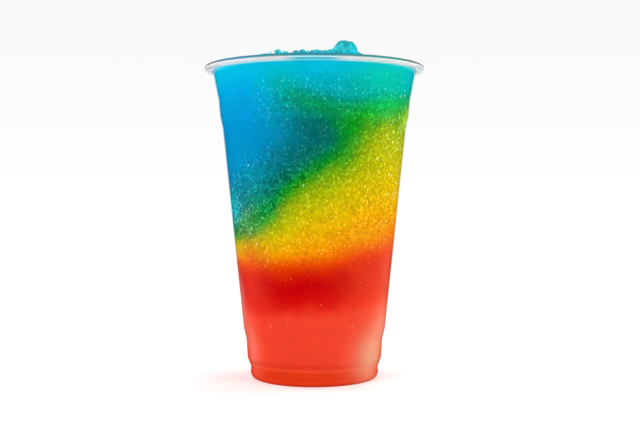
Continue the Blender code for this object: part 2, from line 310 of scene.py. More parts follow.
# the sparkles are the palest grains: painted highlights that stand for glints
SPARKLES = (400000.0, (0.2, 0.35, 0.1), (0.38, 1.0, 0.2))
LOOSE_GRAINS = (600000.0, (0.2, 0.2, 0.15), (0.5, 0.5, 0.35))
# The sparkles' patches: degrees round the cup and height, each with its spread, and their share.
SPARKLE_PATCHES = [
    ((-56.0, 14.0), (73.0, 9.0), 0.7),
    ((67.0, 14.0), (101.0, 25.0), 1.0),
    ((-165.0, 25.0), (95.0, 20.0), 0.5),
    ((165.0, 25.0), (95.0, 20.0), 0.5),
]
STRAY_SPARKLES = 0.006

# Floor, light and camera: even light all round, a glow at both sides that the wall's edges catch, and soft
# lamps with their place, the height that they point at, size and power.
FLOOR_RADIUS = 6.0
EVEN_LIGHT = 0.38
SIDE_GLOW = 8.0
LAMPS = [
    ("key_left", (-0.9, -0.9, 0.55), 0.07, 0.35, 6.5),
    ("fill_right", (1.0, -0.6, 0.5), 0.07, 0.35, 5.0),
    ("top_back", (0.1, 0.15, 1.0), 0.12, 0.3, 2.0),
]
CAMERA_LENS = 58.5
CAMERA_PLACE = (0.0025, -0.4667, 0.0829)
CAMERA_TILT = 1.15


def from_screen(colour):
    """A colour given as screen values from 0 to 255, as linear light."""
    values = np.asarray(colour, dtype=float) / 255
    return np.where(values <= 0.04045, values / 12.92, ((values + 0.055) / 1.055) ** 2.4)


def new_object(name, data):
    thing = bpy.data.objects.new(name, data)
    bpy.context.scene.collection.objects.link(thing)
    return thing


def evaluated_mesh(thing):
    """The plain mesh of an object with its modifiers applied."""
    bpy.context.view_layer.update()
    graph = bpy.context.evaluated_depsgraph_get()
    return bpy.data.meshes.new_from_object(thing.evaluated_get(graph))


def mesh_from(shape, name):
    """The finished mesh of a shape that was built up in steps."""
    mesh = bpy.data.meshes.new(name)
    shape.to_mesh(mesh)
    shape.free()
    return mesh


def places_of(elements, part="co"):
    """The places of a mesh's points or faces, in millimetres."""
    values = np.empty(len(elements) * 3)
    elements.foreach_get(part, values)
    return values.reshape(-1, 3) / MM


def store(mesh, name, values):
    """Keeps a number or a colour for each point of the mesh."""
    if values.ndim == 2:
        layer = mesh.attributes.new(name, "FLOAT_COLOR", "POINT")
        layer.data.foreach_set("color", np.column_stack([values, np.ones(len(values))]).ravel())
    else:
        layer = mesh.attributes.new(name, "FLOAT", "POINT")
        layer.data.foreach_set("value", values)


# Shapes turned round the axis


def arc(centre, radii, start, end, steps):
    """Points along an oval, from one angle to another in degrees."""
    points = []
    for step in range(steps + 1):
        angle = math.radians(start + (end - start) * step / steps)
        points.append((centre[0] + radii[0] * math.cos(angle), centre[1] + radii[1] * math.sin(angle)))
    return points


def rounded(line):
    """The line with each inner corner drawn out to a short curve."""
    points = [line[0]]
    for before, here, after in zip(line, line[1:], line[2:]):
        before, here, after = Vector(before), Vector(here), Vector(after)
        first = here + (before - here).normalized() * min(CORNER_REACH, (before - here).length * 0.45)
        last = here + (after - here).normalized() * min(CORNER_REACH, (after - here).length * 0.45)
        for step in range(CORNER_STEPS + 1):
            t = step / CORNER_STEPS
            points.append(tuple(first.lerp(here, t).lerp(here.lerp(last, t), t)))
    points.append(line[-1])
    return points


def curl_shape():
    """Centre and radii of the rolled rim, along the middle of its wall."""
    half = WALL / 2
    lip = LIP_RADIUS - half
    radii = ((RIM_RADIUS - half - lip) / 2, (CURL_HEIGHT - WALL) / 2)
    return (lip + radii[0], CUP_HEIGHT - half - radii[1]), radii


def middle_line():
    """The middle of the cup's wall, from the tip of the rolled rim to the axis."""
    half = WALL / 2
    curl = arc(*curl_shape(), CURL_START, 180.0, CURL_STEPS)
    ring_outer, ring_inner = FOOT_RING
    radii = (FOOT_RADIUS - half - ring_outer, FOOT_HEIGHT - half)
    roll = arc((ring_outer, FOOT_HEIGHT), radii, 0.0, -90.0, FOOT_STEPS)
    wall = rounded([curl[-1]] + [(radius - half, height) for radius, height in WALL_LINE] + [roll[0]])
    rise = PANEL_HEIGHT + half
    base = rounded([roll[-1], (ring_inner, half), (PANEL_RADIUS, rise), (0.0, rise)])
    return curl + wall[1:] + roll[1:] + base[1:]


def offset_line(line, distance):
    """The line moved sideways by a distance, to its left as it runs."""
    moved = []
    for index, point in enumerate(line):
        here = Vector(point)
        before = Vector(line[max(index - 1, 0)])
        after = Vector(line[min(index + 1, len(line) - 1)])
        arriving = (here - before).normalized() if index else (after - here).normalized()
        leaving = (after - here).normalized() if index < len(line) - 1 else arriving
        side = Vector((-arriving.y, arriving.x))
        next_side = Vector((-leaving.y, leaving.x))
        corner = (side + next_side).normalized()
        place = here + corner * (distance / corner.dot(side))
        moved.append((place.x, place.y))
    return moved


def spaced(line, gap):
    """The line with more points, no further apart than the gap."""
    points = [line[0]]
    for near, far in zip(line, line[1:]):
        near, far = Vector(near), Vector(far)
        count = max(1, math.ceil((far - near).length / gap))
        points += [tuple(near.lerp(far, step / count)) for step in range(1, count + 1)]
    return points


def turned_mesh(name, profile, columns):
    """Turns a profile of (radius, height) round the axis and returns the plain mesh."""
    mesh = bpy.data.meshes.new(name)
    points = [(radius * MM, 0.0, height * MM) for radius, height in profile]
    mesh.from_pydata(points, [(step, step + 1) for step in range(len(points) - 1)], [])
    turned = new_object(name, mesh)
    screw = turned.modifiers.new("turn", "SCREW")
    screw.axis = "Z"
    screw.steps = columns
    screw.render_steps = columns
    screw.use_merge_vertices = True
    screw.merge_threshold = 0.00001
    result = evaluated_mesh(turned)
    bpy.data.objects.remove(turned, do_unlink=True)
    shape = bmesh.new()
    shape.from_mesh(result)
    bmesh.ops.recalc_face_normals(shape, faces=shape.faces[:])
    shape.to_mesh(result)
    shape.free()
    return result


def make_cup():
    """The clear cup as one closed wall with its rolled rim and raised base panel."""
    middle = middle_line()
    profile = list(reversed(offset_line(middle, -WALL / 2))) + offset_line(middle, WALL / 2)
    cup = new_object("clear_cup", turned_mesh("clear_cup", profile, CUP_COLUMNS))
    cup.data.shade_smooth()
    tint_rim(cup.data)
    return cup


def tint_rim(mesh):
    """Stores the share of painted light and reflection on the rolled rim at each point, and the colour that it
    shows there.
    """
    places = places_of(mesh.vertices)
    reach = np.hypot(places[:, 0], places[:, 1])
    turn = np.abs(turn_of(places))
    centre, radii = curl_shape()
    over = (reach - centre[0]) / (radii[0] + WALL / 2)
    up = (places[:, 2] - centre[1]) / (radii[1] + WALL / 2)
    roll = np.degrees(np.arctan2(up, over))
    outer = (np.hypot(over, up) > CURL_OUTSIDE)[:, None]
    # painted reflection: the slush's colour carried round inside the roll, deepened, grey at the sides
    reflection = REFLECTION_SHARE * smooth_share(roll, *REFLECTION_ROLL) * (1 - smooth_share(roll, *REFLECTION_END))
    uneven = soft_noise(np.column_stack([turn, roll / 4, np.zeros(len(roll))]), *RIM_CLOUDS)
    gap = 1 - smooth_share(turn, *LIGHT_BAND_GAP)
    cover = mixed(LIGHT_BAND_SHARE, FRONT_LIGHT_SHARE, gap) * smooth_share(roll, *LIGHT_BAND_ROLL) * (1 - reflection)
    below = places * (LIP_RADIUS / np.maximum(reach, 1.0))[:, None]
    below[:, 2] = REFLECTION_LOOK
    melt = taste(below)[0]
    fade = smooth_share(turn, *REFLECTION_FADE) * (1 - smooth_share(turn, *REFLECTION_RETURN))
    reflection_colour = mixed(melt * REFLECTION_DEPTH, REFLECTION_GREY, fade)
    # in front the rim shows the slush below with painted pale streaks
    streak = np.clip(along(STREAKS, roll) + STREAK_WAVER * uneven, 0, 1)[:, None]
    front = mixed(melt, np.array(STREAK_COLOUR), streak)
    low = LOW_STREAK_SHARE * smooth_share(roll, *LOW_STREAK)
    # painted light: a grey-white band on the roll, with a pale painted streak low on its outer side
    rim_light = mixed(np.array(LIGHT_BAND_COLOUR), np.array(STREAK_COLOUR), low) * (1 + LIGHT_BAND_WAVER * uneven)[:, None]
    colour = mixed(rim_light, front, gap) * cover + reflection_colour * reflection
    colour = np.clip(colour / np.maximum(reflection + cover, 0.001), 0, 1)
    store(mesh, "tint", colour)
    store(mesh, "rim_light_share", ((reflection + cover) * outer).ravel())


def fill_line():
    """The slush's outline from its edge at the brim down the wall to the axis."""
    inside = offset_line(middle_line(), BITE - WALL / 2)
    wall = [point for point in inside[CURL_STEPS + 1:] if point[1] < SLUSH_EDGE]
    return [(LIP_RADIUS - WALL + BITE, SLUSH_EDGE)] + wall


# The heap


def heap_height(across, deep):
    """Height of the slush's open top at a place, without its crumbs."""
    reach = min(math.hypot(across, deep) / MOUND_RADIUS, 1.0)
    fade = 1.0 - reach ** 6
    place = Vector((across / RELIEF_SIZE, deep / RELIEF_SIZE, 0.7))
    height = MOUND_EDGE + MOUND_RISE * (1.0 - reach ** 2) ** MOUND_FULLNESS
    height += fade * RELIEF * noise.fractal(place, 0.7, 2.1, 3)
    for middle_across, middle_deep, rise, spread in SWELLINGS:
        away = math.hypot(across - middle_across, deep - middle_deep) / spread
        height += fade * rise * math.exp(-away * away)
    return height


def crumbs(place, size):
    """Rounded bumps that press against each other, from 0 in the creases to about 1."""
    near = noise.voronoi(place / size)[0]
    return min(1.0, (near[1] - near[0]) * CRUMB_FULLNESS)


def crumbly_height(across, deep):
    """The open top with its coarse and fine crumbs of ice."""
    reach = min(math.hypot(across, deep) / MOUND_RADIUS, 1.0)
    fade = 1.0 - reach ** 10
    place = Vector((across, deep, 3.0))
    coarse = crumbs(place, CRUMB_SIZE) * (0.55 + noise.noise(place / CRUMB_CLOUDS))
    fine = crumbs(place + Vector((40.0, 0.0, 0.0)), CRUMB_SIZE * FINE_SIZE)
    return heap_height(across, deep) + fade * CRUMB_RELIEF * (coarse + FINE_CRUMBS * fine - CRUMB_SINK)


def heap_grid(height_at):
    """An even grid drawn out to a round and lifted to its heights."""
    shape = bmesh.new()
    bmesh.ops.create_grid(shape, x_segments=MOUND_CELLS, y_segments=MOUND_CELLS, size=1.0)
    for vertex in shape.verts:
        side, depth = vertex.co.x, vertex.co.y
        across = MOUND_RADIUS * side * math.sqrt(1.0 - depth * depth / 2)
        deep = MOUND_RADIUS * depth * math.sqrt(1.0 - side * side / 2)
        vertex.co = Vector((across, deep, height_at(across, deep))) * MM
    return shape


def mound():
    """The heap as a closed block that reaches down into the fill."""
    shape = heap_grid(crumbly_height)
    closed = bmesh.ops.extrude_face_region(shape, geom=shape.faces[:])
    for vertex in closed["geom"]:
        if isinstance(vertex, bmesh.types.BMVert):
            vertex.co.z = MOUND_FLOOR * MM
    bmesh.ops.recalc_face_normals(shape, faces=shape.faces[:])
    return new_object("mound", mesh_from(shape, "mound"))


def add_rough_ball(shape, place, radii, detail, roughness, seed):
    """Adds a rounded piece of ice with an uneven skin to a mesh."""
    made = bmesh.ops.create_icosphere(shape, subdivisions=detail, radius=1.0)
    for vertex in made["verts"]:
        swell = 1.0 + roughness * noise.noise(vertex.co * 1.6 + Vector((seed, 0.0, 0.0)))
        spot = [middle + radius * swell * part for middle, radius, part in zip(place, radii, vertex.co)]
        vertex.co = Vector(spot) * MM


def chip_places(draw):
    """Where the chips lie and their radii: the front ones listed, the rest drawn over the heap."""
    places = list(FRONT_CHIPS)
    while len(places) < len(FRONT_CHIPS) + SPREAD_CHIPS:
        turn = draw.uniform(0.0, 2 * math.pi)
        reach = CHIP_REACH * math.sqrt(draw.random())
        across, deep = reach * math.cos(turn), reach * math.sin(turn)
        clear = min(math.hypot(across - place[0], deep - place[1]) for place in places + LUMP[:2])
        if clear > CHIP_GAP and deep > CHIP_FRONT:
            places.append((across, deep, draw.uniform(*CHIP_RADII)))
    return places


def crags():
    """The lump and the coarse chips, melted into one skin with fine grain on it."""
    shape = bmesh.new()
    for number, (across, deep, up, *radii) in enumerate(LUMP):
        add_rough_ball(shape, (across, deep, up), radii, 4, LUMP_ROUGHNESS, 7.0 * number)
    draw = random.Random(CHIP_SEED)
    for number, (across, deep, radius) in enumerate(chip_places(draw)):
        place = (across, deep, heap_height(across, deep) - CHIP_SINK * radius)
        radii = (radius, radius * draw.uniform(*CHIP_FLATNESS), radius * draw.uniform(*CHIP_FLATNESS))
        add_rough_ball(shape, place, radii, 3, CHIP_ROUGHNESS, 3.0 * number)
    piece = new_object("crags", mesh_from(shape, "crags"))
    melt = piece.modifiers.new("melt", "REMESH")
    melt.mode = "VOXEL"
    melt.voxel_size = LUMP_VOXEL * MM
    piece.data = evaluated_mesh(piece)
    piece.modifiers.clear()
    roughen(piece.data)
    return piece


def roughen(mesh):
    """Presses small crumbs of ice into a piece's skin, inwards only."""
    normals = [vertex.normal.copy() for vertex in mesh.vertices]
    for vertex, normal in zip(mesh.vertices, normals):
        sunk = 1.0 - crumbs(vertex.co / MM, LUMP_GRAIN_SIZE)
        vertex.co -= normal * (sunk * LUMP_GRAIN * MM)
    mesh.update()


# The layers' borders


def smooth_line(knots):
    """A curve through the knots, with BORDER_DETAIL stretches between each pair."""
    points = []
    for index in range(len(knots) - 1):
        first = Vector(knots[max(index - 1, 0)])
        second = Vector(knots[index])
        third = Vector(knots[index + 1])
        fourth = Vector(knots[min(index + 2, len(knots) - 1)])
        for step in range(BORDER_DETAIL):
            t = step / BORDER_DETAIL
            pull = (third - first) * t
            pull += (2 * first - 5 * second + 4 * third - fourth) * t ** 2
            pull += (3 * second - first - 3 * third + fourth) * t ** 3
            points.append(second + pull / 2)
    points.append(Vector(knots[-1]))
    return [(point.x, point.y) for point in points]


def border_line(border, deep):
    """A border's line at a depth, blended from its front to its back, with its small waves."""
    blend = min(max((deep + BORDER_BLEND) / (2 * BORDER_BLEND), 0.0), 1.0)
    blend = blend * blend * (3 - 2 * blend)
    knots = [tuple(a + (b - a) * blend for a, b in zip(near, far)) for near, far in zip(*border)]
    line = []
    for across, height in smooth_line(knots):
        place = Vector((across / BORDER_WOBBLE_SIZE, deep / BORDER_WOBBLE_SIZE, height / 20.0))
        line.append((across, height + BORDER_WOBBLE * noise.noise(place)))
    return line


def slice_depths():
    """The depths at which a border's line is worked out."""
    return [BORDER_DEPTH * (2 * number / (BORDER_SLICES - 1) - 1) for number in range(BORDER_SLICES)]


def block_below(name, border):
    """A solid block that holds all that lies under a border."""
    shape = bmesh.new()
    loops = []
    for deep in slice_depths():
        line = border_line(border, deep)
        line += [(line[-1][0], BELOW_CUP), (line[0][0], BELOW_CUP)]
        loops.append([shape.verts.new(Vector((across, deep, height)) * MM) for across, height in line])
    for near, far in zip(loops, loops[1:]):
        for index in range(len(near)):
            after = (index + 1) % len(near)
            shape.faces.new((near[index], near[after], far[after], far[index]))
    shape.faces.new(reversed(loops[0]))
    shape.faces.new(loops[-1])
    bmesh.ops.triangulate(shape, faces=shape.faces[:])
    bmesh.ops.recalc_face_normals(shape, faces=shape.faces[:])
    return new_object(name, mesh_from(shape, name))


def combine(name, mesh, steps):
    """The mesh joined with, kept inside or cut by each helper in turn."""
    piece = new_object(name, mesh)
    for operation, helper in steps:
        cut = piece.modifiers.new(operation.lower(), "BOOLEAN")
        cut.operation = operation
        cut.object = helper
        cut.solver = "MANIFOLD"
    piece.data = evaluated_mesh(piece)
    piece.modifiers.clear()
    return piece


def height_over(border, places):
    """Distance of each place from a border, in millimetres, below zero for places under it."""
    depths = slice_depths()
    lines = np.array([border_line(border, deep) for deep in depths])
    step = (places[:, 1] - depths[0]) / (depths[1] - depths[0])
    low = np.clip(step.astype(int), 0, len(depths) - 2)
    share = (step - low)[:, None]
    best = np.full(len(places), 1e9)
    crossings = np.zeros(len(places), dtype=int)
    across, height = places[:, 0], places[:, 2]
    for index in range(lines.shape[1] - 1):
        start = mixed(lines[low, index], lines[low + 1, index], share)
        end = mixed(lines[low, index + 1], lines[low + 1, index + 1], share)
        run, rise = (end - start).T
        passed = (across - start[:, 0]) * run + (height - start[:, 1]) * rise
        passed = np.clip(passed / (run * run + rise * rise), 0, 1)
        away = np.hypot(across - start[:, 0] - passed * run, height - start[:, 1] - passed * rise)
        best = np.minimum(best, away)
        spans = (start[:, 0] <= across) != (end[:, 0] <= across)
        slope = rise / np.where(np.abs(run) < 1e-6, 1e-6, run)
        crossings += spans & (start[:, 1] + (across - start[:, 0]) * slope > height)
    return np.where(crossings % 2 == 1, -best, best)


def layer_place(places):
    """Where each place lies in the drink, on the scale that FLAVOURS and ICE use."""
    tops = (RED_TOP, YELLOW_TOP, GREEN_TOP)
    over_red, over_yellow, over_green = [height_over(top, places) for top in tops]
    scale = 3 + np.clip(over_green / MELT_DEPTH, 0, 1)
    green = 2 + over_yellow / np.maximum(over_yellow - over_green, 1e-6)
    yellow = 1 + over_red / np.maximum(over_red - over_yellow, 1e-6)
    red = 1 + np.clip(over_red / MELT_DEPTH, -1, 0)
    scale = np.where(over_green < 0, green, scale)
    scale = np.where(over_yellow < 0, yellow, scale)
    return np.where(over_red < 0, red, scale)


def along(stops, values):
    """Values read off a list of stops, for single numbers or for screen colours."""
    knots = [stop[0] for stop in stops]
    if isinstance(stops[0][1], tuple):
        colours = np.array([from_screen(stop[1]) for stop in stops])
        return np.stack([np.interp(values, knots, colours[:, part]) for part in range(3)], axis=1)
    return np.interp(values, knots, [stop[1] for stop in stops])


def soft_noise(places, size, seed):
    """Cloudy noise at each place, about -1 to 1."""
    shift = Vector((seed, 0.0, 0.0))
    return np.array([noise.fractal(Vector(place) / size + shift, 0.8, 2.0, 3) for place in places])


def smooth_share(values, start, end):
    """A share that rises softly from 0 at the start to 1 at the end."""
    share = np.clip((values - start) / (end - start), 0, 1)
    return (share * share * (3 - 2 * share))[:, None]


def mixed(first, second, share):
    return first * (1 - share) + second * share


def bump_at(values, middle, spread):
    """A share that is 1 in the middle and fades to both sides."""
    return np.exp(-(((values - middle) / spread) ** 2))


def turn_of(places):
    """Degrees round the cup from its front, positive to the right."""
    return np.degrees(np.arctan2(places[:, 0], -places[:, 1]))


def taste(places):
    """The slush's colour, with the painted light and shade of the wall's rings, the pale side pockets, the
    lump and the foot's pale line, and its share of visible ice at each place.
    """
    clouds = soft_noise(places, *CLOUDS)
    scale = layer_place(places)
    height = places[:, 2]
    sag = SAG_SHIFT * bump_at(turn_of(places), *SAG_TURN) * bump_at(height, *SAG_HEIGHT)
    scale = scale + sag + clouds * along(CLOUDING, scale)
    colour = along(FLAVOURS, scale)
    share = smooth_share(height, *UPPER_START) * smooth_share(scale, *UPPER_GREEN)
    colour = mixed(colour, along(UPPER_FLAVOURS, scale), share)
    colour = mixed(colour, along(BLUES, height), smooth_share(scale, *BLUE_START))
    colour = mixed(along(FOOT, height), colour, smooth_share(height, *FOOT_FADE))
    for across, deep, up, side_spread, up_spread, tint, strength in POCKETS:
        away = ((places[:, 0] - across) ** 2 + (places[:, 1] - deep) ** 2) / side_spread ** 2
        away = away + ((height - up) / up_spread) ** 2
        colour = mixed(colour, from_screen(tint), strength * np.exp(-away)[:, None])
    # painted shade and light: faint rings where the cup's wall bends
    rings = mixed(RING_LEAST, 1.0, smooth_share(places[:, 0], *RING_FADE))[:, 0]
    rings = rings * along(RINGS, height + RING_WAVER * clouds)
    mottle = CLOUD_SHADE * clouds + MOTTLE_SHADE * soft_noise(places, *MOTTLE)
    colour = colour * (1 + mottle + rings)[:, None]
    right = np.clip(places[:, 0] / RIGHT_EDGE, 0, 1) * along(RIGHT_ICE, scale)
    ice = along(ICE, scale) * np.where(scale > 2, along(ICE_BY_HEIGHT, height), 1 + right)
    ice = ice * (1 + ICE_UNEVEN * soft_noise(places, *ICE_CLOUDS))
    return np.clip(colour, 0, 1), np.clip(ice, 0, 2)


def paint(mesh):
    """Stores each point's colour and share of ice on the mesh, and returns the ice."""
    colour, ice = taste(places_of(mesh.vertices))
    store(mesh, "flavour", colour)
    store(mesh, "ice", ice)
    return ice


def set_wet_top(mesh):
    """Gives the open top, from the brim up, the second of the piece's materials."""
    open_top = places_of(mesh.polygons, "center")[:, 2] > SLUSH_EDGE - 0.01
    mesh.polygons.foreach_set("material_index", open_top.astype(int))


def make_slush():
    """The four layers, each cut from the same fill along the borders that it shares."""
    outline = fill_line()
    profile = [(0.0, SLUSH_EDGE)] + spaced(outline, SLUSH_ROW)
    fill = turned_mesh("fill", profile, SLUSH_COLUMNS)
    heap = mound()
    lump = crags()
    borders = {"red": RED_TOP, "yellow": YELLOW_TOP, "green": GREEN_TOP}
    blocks = {name: block_below("under_" + name, border) for name, border in borders.items()}
    recipes = {
        "red_slush": [("INTERSECT", blocks["red"])],
        "yellow_slush": [("INTERSECT", blocks["yellow"]), ("DIFFERENCE", blocks["red"])],
        "green_slush": [("INTERSECT", blocks["green"]), ("DIFFERENCE", blocks["yellow"])],
        "blue_slush": [("UNION", heap), ("UNION", lump), ("DIFFERENCE", blocks["green"])],
    }
    layers = {}
    for name, steps in recipes.items():
        piece = combine("icy_" + name, fill.copy(), steps)
        piece.data.shade_smooth()
        piece.data.set_sharp_from_angle(angle=math.radians(CREASE_ANGLE))
        paint(piece.data)
        layers[name] = piece
    for helper in [heap, lump, *blocks.values()]:
        bpy.data.objects.remove(helper, do_unlink=True)
    return layers


# Materials


def add_node(tree, kind, settings=None, inputs=None):
    """Adds a node, sets its options, and links or sets its inputs."""
    node = tree.nodes.new(kind)
    for key, value in (settings or {}).items():
        setattr(node, key, value)
    for socket, value in (inputs or {}).items():
        if isinstance(value, bpy.types.NodeSocket):
            tree.links.new(value, node.inputs[socket])
        else:
            node.inputs[socket].default_value = value
    return node


def output_of(tree, kind, inputs=None, settings=None, socket=0):
    """Adds a node and returns one of its outputs."""
    return add_node(tree, kind, settings, inputs).outputs[socket]


def maths(tree, operation, first, second=0.0, clamp=False):
    settings = {"operation": operation, "use_clamp": clamp}
    return output_of(tree, "ShaderNodeMath", {0: first, 1: second}, settings)


def vector_maths(tree, operation, *inputs):
    return output_of(tree, "ShaderNodeVectorMath", dict(enumerate(inputs)), {"operation": operation})


def scaled(tree, colour, factor):
    inputs = {0: colour, "Scale": factor}
    return output_of(tree, "ShaderNodeVectorMath", inputs, {"operation": "SCALE"})


def mix_colour(tree, share, first, second):
    return output_of(tree, "ShaderNodeMix", {0: share, 6: first, 7: second}, {"data_type": "RGBA"}, 2)


def map_range(tree, value, start, end, low=0.0, high=1.0):
    inputs = {"Value": value, "From Min": start, "From Max": end, "To Min": low, "To Max": high}
    return output_of(tree, "ShaderNodeMapRange", inputs, socket="Result")


def attribute(tree, name, output="Fac"):
    return output_of(tree, "ShaderNodeAttribute", {}, {"attribute_name": name}, output)


def object_place(tree):
    return output_of(tree, "ShaderNodeTexCoord", socket="Object")


def principled(tree, **inputs):
    """The general surface shader, its inputs named with underscores."""
    inputs = {key.replace("_", " "): value for key, value in inputs.items()}
    return output_of(tree, "ShaderNodeBsdfPrincipled", inputs)


def bumpy(tree, height, strength, distance):
    inputs = {"Strength": strength, "Distance": distance, "Height": height}
    return output_of(tree, "ShaderNodeBump", inputs)


def random_value(tree, kind, output, inputs):
    return output_of(tree, "FunctionNodeRandomValue", inputs, {"data_type": kind}, output)


def swirls(tree, place, scale, detail, low, high):
    """Soft noise, spread out from low to high."""
    inputs = {"Vector": place, "Scale": scale, "Detail": detail}
    return map_range(tree, output_of(tree, "ShaderNodeTexNoise", inputs, socket="Fac"), 0.3, 0.7, low, high)


def mix_shaders(tree, share, first, second):
    return output_of(tree, "ShaderNodeMixShader", {0: share, 1: first, 2: second})


def new_material(name):
    material = bpy.data.materials.new(name)
    material.use_nodes = True
    tree = material.node_tree
    tree.nodes.clear()
    return material, tree


def finish_material(tree, shader):
    add_node(tree, "ShaderNodeOutputMaterial", {}, {"Surface": shader})


def slush_material(name, roughness, shine):
    """Melted ice in its flavour's colour, with pale grains packed in it, lighter in their middles and darker
    at their rims: partly the paler ice, partly painted light and shade.
    """
    material, tree = new_material(name)
    place = object_place(tree)
    cells = add_node(tree, "ShaderNodeTexVoronoi", {}, {"Vector": place, "Scale": 740.0})
    luck = output_of(tree, "ShaderNodeSeparateColor", {"Color": cells.outputs["Color"]}, socket="Red")
    # each grain's dome: lighter in the middle, darker at the rim, partly the paler ice and partly painted
    # light and shade; it also drives the bump
    dot = map_range(tree, cells.outputs["Distance"], 0.15, 0.7, 0.6, -0.4)
    swirl = swirls(tree, place, 420.0, 2.0, -0.5, 0.5)
    grain = maths(tree, "ADD", maths(tree, "MULTIPLY", dot, 0.38), maths(tree, "MULTIPLY", swirl, 0.2))
    grain = maths(tree, "ADD", grain, maths(tree, "MULTIPLY", maths(tree, "SUBTRACT", luck, 0.5), 0.36))
    lift = maths(tree, "ADD", maths(tree, "MULTIPLY", grain, attribute(tree, "ice")), 1.0)
    shade = scaled(tree, attribute(tree, "flavour", "Color"), lift)
    bump = bumpy(tree, dot, 0.2, 0.0002)
    shader = principled(tree, Base_Color=shade, Roughness=roughness, Specular_IOR_Level=shine, Normal=bump)
    finish_material(tree, shader)
    return material


def wet_material():
    """The open top: wet ice, darker in its creases and lighter between them by painted shade and light, and
    glassy where the lump stands up.
    """
    material, tree = new_material("wet_ice")
    place = object_place(tree)
    flavour = attribute(tree, "flavour", "Color")
    cells = add_node(tree, "ShaderNodeTexVoronoi", {}, {"Vector": place, "Scale": 480.0})
    # painted shade and light: darker in the creases, lighter on the crumbs; the same pattern drives the bump
    creases = map_range(tree, cells.outputs["Distance"], 0.15, 0.65, 1.35, 0.72)
    bump = bumpy(tree, creases, 0.3, 0.0003)
    shade = scaled(tree, flavour, creases)
    packed = principled(tree, Base_Color=shade, Roughness=0.14, Specular_IOR_Level=0.5, Normal=bump)
    pale = mix_colour(tree, 0.5, flavour, (1.0, 1.0, 1.0, 1.0))
    glassy = principled(tree, Base_Color=pale, Roughness=0.1, IOR=1.33, Transmission_Weight=1.0, Normal=bump)
    height = output_of(tree, "ShaderNodeSeparateXYZ", {0: place}, socket="Z")
    share = map_range(tree, height, 0.1405, 0.1445, 0.0, 0.5)
    finish_material(tree, mix_shaders(tree, share, packed, glassy))
    return material


def cup_material():
    """Clear thin plastic that lets the light through to the slush, with painted light and a painted reflection
    of the slush on the rolled rim.
    """
    material, tree = new_material("clear_plastic")
    roughness = swirls(tree, object_place(tree), 60.0, 3.0, 0.015, 0.05)
    tone = (0.97, 0.985, 0.99, 1.0)
    plastic = principled(tree, Base_Color=tone, Roughness=roughness, IOR=1.5, Transmission_Weight=1.0)
    rim_light = principled(tree, Base_Color=attribute(tree, "tint", "Color"), Roughness=0.15)
    plastic = mix_shaders(tree, attribute(tree, "rim_light_share"), plastic, rim_light)
    clear = output_of(tree, "ShaderNodeBsdfTransparent")
    path = add_node(tree, "ShaderNodeLightPath").outputs
    passing = maths(tree, "MAXIMUM", path["Is Shadow Ray"], path["Is Diffuse Ray"])
    finish_material(tree, mix_shaders(tree, passing, plastic, clear))
    return material


def grain_material(name, spread, paleness, roughness, shine=0.0):
    """Small grains of ice in the flavour round them: most a little deeper, a few lighter and paler."""
    material, tree = new_material(name)
    flavour = attribute(tree, "flavour", "Color")
    rare = maths(tree, "POWER", attribute(tree, "luck"), 2.0)
    shade = scaled(tree, flavour, maths(tree, "ADD", maths(tree, "MULTIPLY", rare, spread), 0.84))
    mottle = swirls(tree, object_place(tree), 1500.0, 1.0, 0.7, 1.2)
    frost = maths(tree, "MULTIPLY", maths(tree, "MULTIPLY", rare, paleness), mottle, clamp=True)
    tint = vector_maths(tree, "MULTIPLY_ADD", flavour, (2.2, 2.2, 2.2), (0.32, 0.32, 0.32))
    tint = vector_maths(tree, "MINIMUM", tint, (1.0, 1.0, 1.0))
    colour = mix_colour(tree, frost, shade, tint)
    finish_material(tree, principled(tree, Base_Color=colour, Roughness=roughness, Specular_IOR_Level=shine))
    return material


# Ice grains


